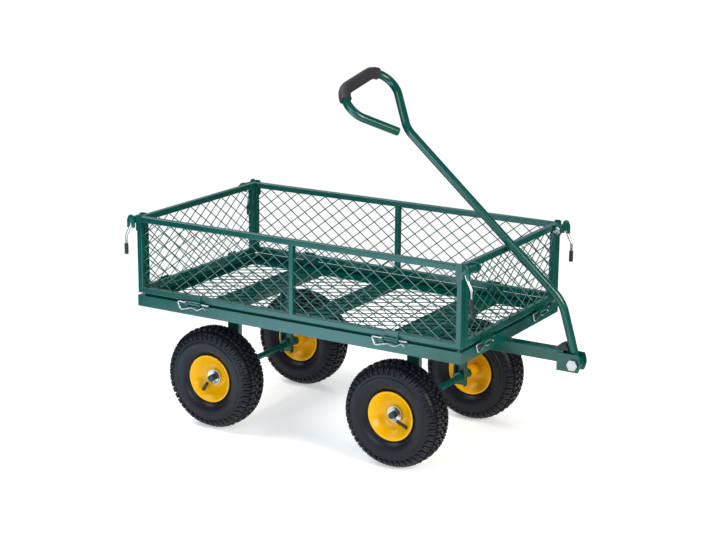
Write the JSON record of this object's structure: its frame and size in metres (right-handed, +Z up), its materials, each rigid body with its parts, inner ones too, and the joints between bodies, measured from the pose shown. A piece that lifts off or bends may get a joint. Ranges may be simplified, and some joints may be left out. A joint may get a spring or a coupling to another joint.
{
  "type": "folding hand cart",
  "caption": "Four-wheeled garden hand cart: steel mesh bed with drop-down sides and gates, corner latches, pneumatic tyres and a steering drawbar with a loop pull handle.",
  "frame": {"origin": "on the ground plane under the middle of the cart's bounding box at rest", "axes": "+X forward to the drawbar and hitch, +Y to the cart's left side, +Z up"},
  "size_m": [1.138, 0.5476, 0.9264],
  "materials": {
    "green_powder_coat": "semi-gloss powder coat",
    "zinc_plated_steel": "bright zinc",
    "yellow_enamel": "gloss",
    "tyre_rubber": "matte",
    "black_rubber": "satin",
    "foam_grip": "matte foam",
    "bearing_nylon": "matte"
  },
  "bodies": {
    "chassis": {"side_rails": "green_powder_coat", "end_rails": "green_powder_coat", "floor_straps": "green_powder_coat", "floor_mesh": "green_powder_coat", "rear_bolster": "green_powder_coat", "front_bolster": "green_powder_coat", "hinge_ears": "green_powder_coat", "hinge_clips": "zinc_plated_steel", "rear_legs": "green_powder_coat", "rear_axle": "green_powder_coat", "rear_axle_retainers": "zinc_plated_steel", "kingpin": "zinc_plated_steel", "kingpin_nut": "zinc_plated_steel"},
    "front_truck": {"steering_plate": "green_powder_coat", "front_legs": "green_powder_coat", "front_axle": "green_powder_coat", "front_axle_retainers": "zinc_plated_steel", "drawbar": "green_powder_coat", "hitch_plates": "green_powder_coat", "handle_stop": "black_rubber"},
    "hitch_pin": {"hitch_bolt": "zinc_plated_steel", "hitch_nut": "zinc_plated_steel"},
    "handle": {"handle_tube": "green_powder_coat", "handle_eye": "green_powder_coat", "handle_grip": "foam_grip"},
    "side_panel_left": {"side_panel_left_frame": "green_powder_coat", "side_panel_left_mesh": "green_powder_coat"},
    "side_panel_right": {"side_panel_right_frame": "green_powder_coat", "side_panel_right_mesh": "green_powder_coat"},
    "front_gate": {"front_gate_frame": "green_powder_coat", "front_gate_mesh": "green_powder_coat", "front_gate_latch_bolts": "zinc_plated_steel"},
    "rear_gate": {"rear_gate_frame": "green_powder_coat", "rear_gate_mesh": "green_powder_coat", "rear_gate_latch_bolts": "zinc_plated_steel"},
    "front_left_wheel": {"front_left_tyre": "tyre_rubber", "front_left_rim": "yellow_enamel", "front_left_bearings": "bearing_nylon", "front_left_valve": "black_rubber"},
    "front_right_wheel": {"front_right_tyre": "tyre_rubber", "front_right_rim": "yellow_enamel", "front_right_bearings": "bearing_nylon", "front_right_valve": "black_rubber"},
    "rear_left_wheel": {"rear_left_tyre": "tyre_rubber", "rear_left_rim": "yellow_enamel", "rear_left_bearings": "bearing_nylon", "rear_left_valve": "black_rubber"},
    "rear_right_wheel": {"rear_right_tyre": "tyre_rubber", "rear_right_rim": "yellow_enamel", "rear_right_bearings": "bearing_nylon", "rear_right_valve": "black_rubber"},
    "front_left_latch": {"front_left_latch_lever": "zinc_plated_steel", "front_left_latch_tip": "black_rubber"},
    "front_right_latch": {"front_right_latch_lever": "zinc_plated_steel", "front_right_latch_tip": "black_rubber"},
    "rear_left_latch": {"rear_left_latch_lever": "zinc_plated_steel", "rear_left_latch_tip": "black_rubber"},
    "rear_right_latch": {"rear_right_latch_lever": "zinc_plated_steel", "rear_right_latch_tip": "black_rubber"}
  },
  "joints": [
    {"name": "steering", "type": "hinge", "parent": "chassis", "child": "front_truck", "pos_m": [0.185, 0, 0.2947], "axis": [0, 0, 1], "range_deg": [-10, 20]},
    {"name": "front_left_wheel_spin", "type": "hinge", "parent": "front_truck", "child": "front_left_wheel", "pos_m": [0.185, 0.2025, 0.13], "axis": [0, 1, 0], "continuous": true},
    {"name": "front_right_wheel_spin", "type": "hinge", "parent": "front_truck", "child": "front_right_wheel", "pos_m": [0.185, -0.2025, 0.13], "axis": [0, 1, 0], "continuous": true},
    {"name": "rear_left_wheel_spin", "type": "hinge", "parent": "chassis", "child": "rear_left_wheel", "pos_m": [-0.339, 0.2025, 0.13], "axis": [0, 1, 0], "continuous": true},
    {"name": "rear_right_wheel_spin", "type": "hinge", "parent": "chassis", "child": "rear_right_wheel", "pos_m": [-0.339, -0.2025, 0.13], "axis": [0, 1, 0], "continuous": true},
    {"name": "side_panel_left_drop", "type": "hinge", "parent": "chassis", "child": "side_panel_left", "pos_m": [-0.077, 0.267, 0.331], "axis": [-1, 0, 0], "range_deg": [0, 165]},
    {"name": "side_panel_right_drop", "type": "hinge", "parent": "chassis", "child": "side_panel_right", "pos_m": [-0.077, -0.267, 0.331], "axis": [1, 0, 0], "range_deg": [0, 165]},
    {"name": "front_gate_drop", "type": "hinge", "parent": "chassis", "child": "front_gate", "pos_m": [0.39, 0, 0.331], "axis": [0, 1, 0], "range_deg": [0, 90]},
    {"name": "rear_gate_drop", "type": "hinge", "parent": "chassis", "child": "rear_gate", "pos_m": [-0.544, 0, 0.331], "axis": [0, -1, 0], "range_deg": [0, 165]},
    {"name": "hitch_carry", "type": "hinge", "parent": "front_truck", "child": "hitch_pin", "pos_m": [0.551, 0, 0.262], "axis": [0, 1, 0], "range_deg": [0, 54]},
    {"name": "handle_swing", "type": "hinge", "parent": "hitch_pin", "child": "handle", "pos_m": [0.551, 0, 0.262], "axis": [0, 1, 0], "range_deg": [0, 90]},
    {"name": "front_left_latch_turn", "type": "hinge", "parent": "front_gate", "child": "front_left_latch", "pos_m": [0.3935, 0.247, 0.518], "axis": [0, -1, 0], "range_deg": [0, 90]},
    {"name": "front_right_latch_turn", "type": "hinge", "parent": "front_gate", "child": "front_right_latch", "pos_m": [0.3935, -0.247, 0.518], "axis": [0, -1, 0], "range_deg": [0, 90]},
    {"name": "rear_left_latch_turn", "type": "hinge", "parent": "rear_gate", "child": "rear_left_latch", "pos_m": [-0.5475, 0.247, 0.518], "axis": [0, 1, 0], "range_deg": [0, 90]},
    {"name": "rear_right_latch_turn", "type": "hinge", "parent": "rear_gate", "child": "rear_right_latch", "pos_m": [-0.5475, -0.247, 0.518], "axis": [0, 1, 0], "range_deg": [0, 90]}
  ],
  "couplings": [
    {"joint": "hitch_carry", "follows": "front_gate_drop", "ratio": 0.6}
  ]
}
